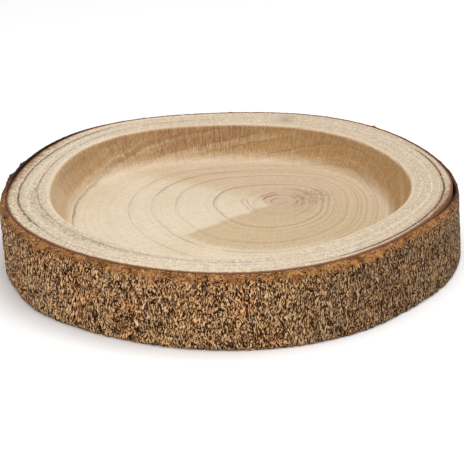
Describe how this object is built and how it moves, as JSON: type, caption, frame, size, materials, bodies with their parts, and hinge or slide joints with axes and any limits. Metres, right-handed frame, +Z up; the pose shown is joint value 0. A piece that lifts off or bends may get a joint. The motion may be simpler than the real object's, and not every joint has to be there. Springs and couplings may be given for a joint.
{
  "type": "wood slice tray",
  "caption": "Round slice of tree trunk with the bark left on and a shallow round recess cut in its top, used as a tray or a base for displays.",
  "frame": {"origin": "middle of the flat sawn underside, under the middle of the bounding box", "axes": "+Z up out of the recess, along the trunk; the front of the slice faces -Y"},
  "size_m": [0.3042, 0.305, 0.0485],
  "materials": {
    "wood": "bare sawn wood, sanded",
    "bark": "rough natural bark"
  },
  "bodies": {
    "root": {"wood_slice": "wood"}
  },
  "joints": []
}
